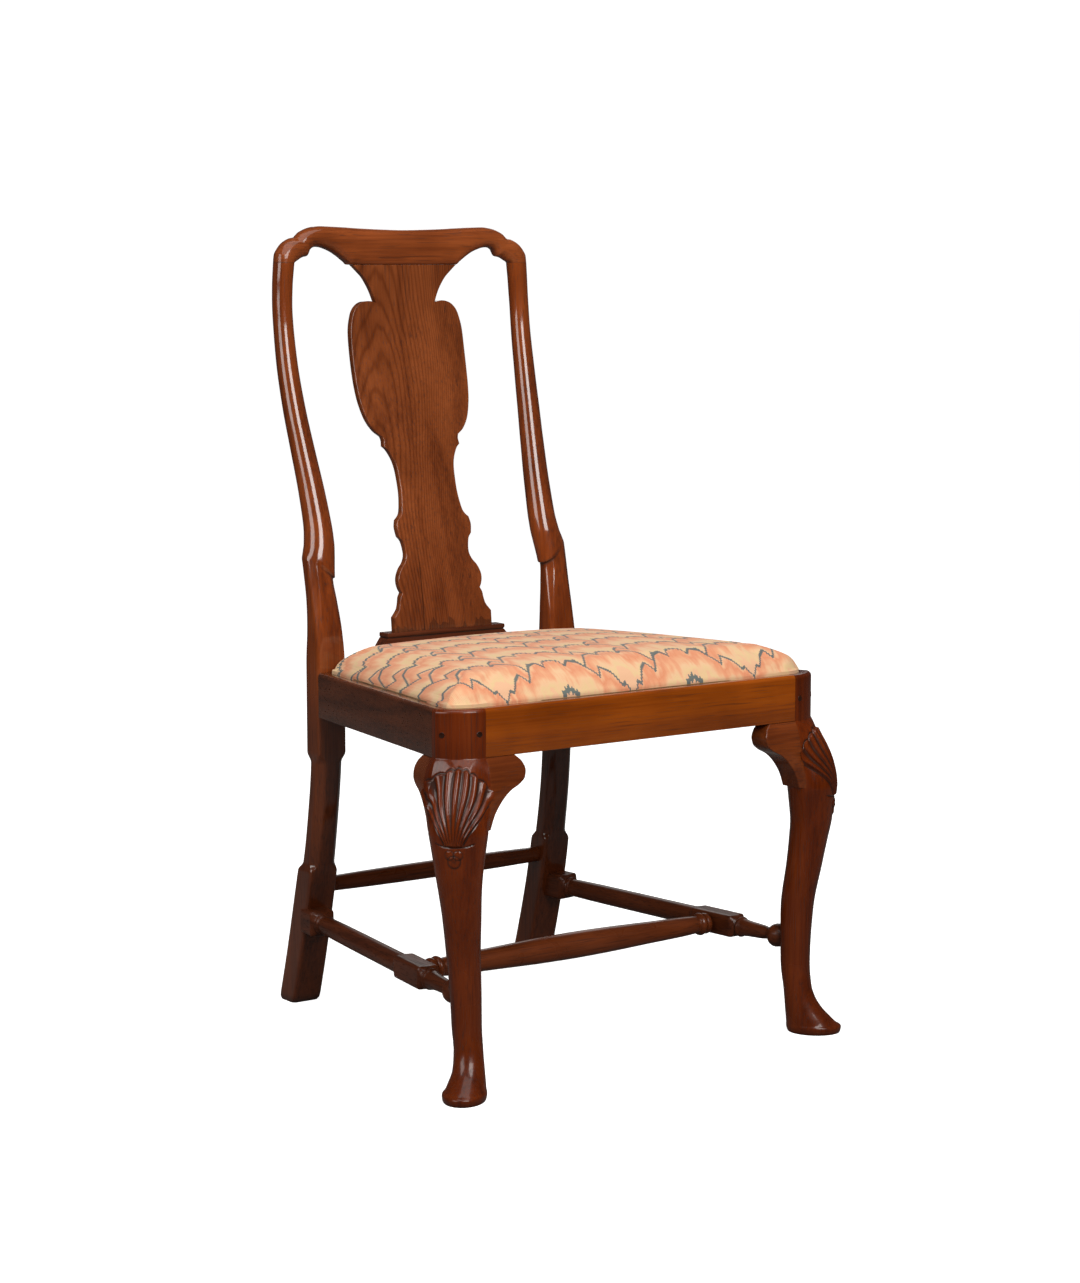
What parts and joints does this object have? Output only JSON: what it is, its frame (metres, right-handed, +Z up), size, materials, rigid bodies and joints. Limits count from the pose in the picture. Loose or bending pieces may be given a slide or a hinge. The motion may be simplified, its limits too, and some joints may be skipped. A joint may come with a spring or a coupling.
{
  "type": "side chair",
  "caption": "Walnut side chair with a vase splat, yoke crest, cabriole front legs with carved knees, turned stretchers and a lift-out upholstered slip seat.",
  "frame": {"origin": "on the floor under the middle of the chair's plan", "axes": "+Z up, +Y to the back, the front of the seat faces -Y, +X to the viewer's right from the front"},
  "size_m": [0.5888, 0.582, 1],
  "materials": {
    "walnut_frame": "polished old walnut, reddish brown",
    "walnut_front_rail": "polished old walnut, lighter orange brown",
    "walnut_splat": "polished figured walnut",
    "walnut_shoe": "dark polished walnut",
    "seasoned_beech": "bare wood",
    "jute_webbing": "woven jute",
    "hessian": "open plain weave",
    "curled_hair": "loose hair stuffing",
    "needlework": "wool flame stitch on canvas"
  },
  "bodies": {
    "chair_frame": {"left_rear_post": "walnut_frame", "right_rear_post": "walnut_frame", "crest_rail": "walnut_frame", "splat": "walnut_splat", "splat_shoe": "walnut_shoe", "rear_seat_rail": "walnut_frame", "front_seat_rail": "walnut_front_rail", "left_side_seat_rail": "walnut_frame", "right_side_seat_rail": "walnut_frame", "left_front_leg": "walnut_frame", "right_front_leg": "walnut_frame", "left_front_knee_bracket": "walnut_frame", "left_side_knee_bracket": "walnut_frame", "right_front_knee_bracket": "walnut_frame", "right_side_knee_bracket": "walnut_frame", "left_front_rail_peg": "walnut_frame", "left_side_rail_peg": "walnut_frame", "right_front_rail_peg": "walnut_frame", "right_side_rail_peg": "walnut_frame", "left_front_corner_block": "seasoned_beech", "left_rear_corner_block": "seasoned_beech", "right_front_corner_block": "seasoned_beech", "right_rear_corner_block": "seasoned_beech", "left_side_stretcher": "walnut_frame", "right_side_stretcher": "walnut_frame", "cross_stretcher": "walnut_frame", "rear_stretcher": "walnut_frame"},
    "slip_seat": {"slip_front_rail": "seasoned_beech", "slip_back_rail": "seasoned_beech", "slip_left_rail": "seasoned_beech", "slip_right_rail": "seasoned_beech", "left_long_webbing": "jute_webbing", "middle_long_webbing": "jute_webbing", "right_long_webbing": "jute_webbing", "front_cross_webbing": "jute_webbing", "rear_cross_webbing": "jute_webbing", "base_cloth": "hessian", "seat_stuffing": "curled_hair", "seat_cover": "needlework"}
  },
  "joints": [
    {"name": "slip_seat_lift", "type": "slide", "parent": "chair_frame", "child": "slip_seat", "axis": [0, 0, 1], "range_m": [0, 0.15]}
  ]
}
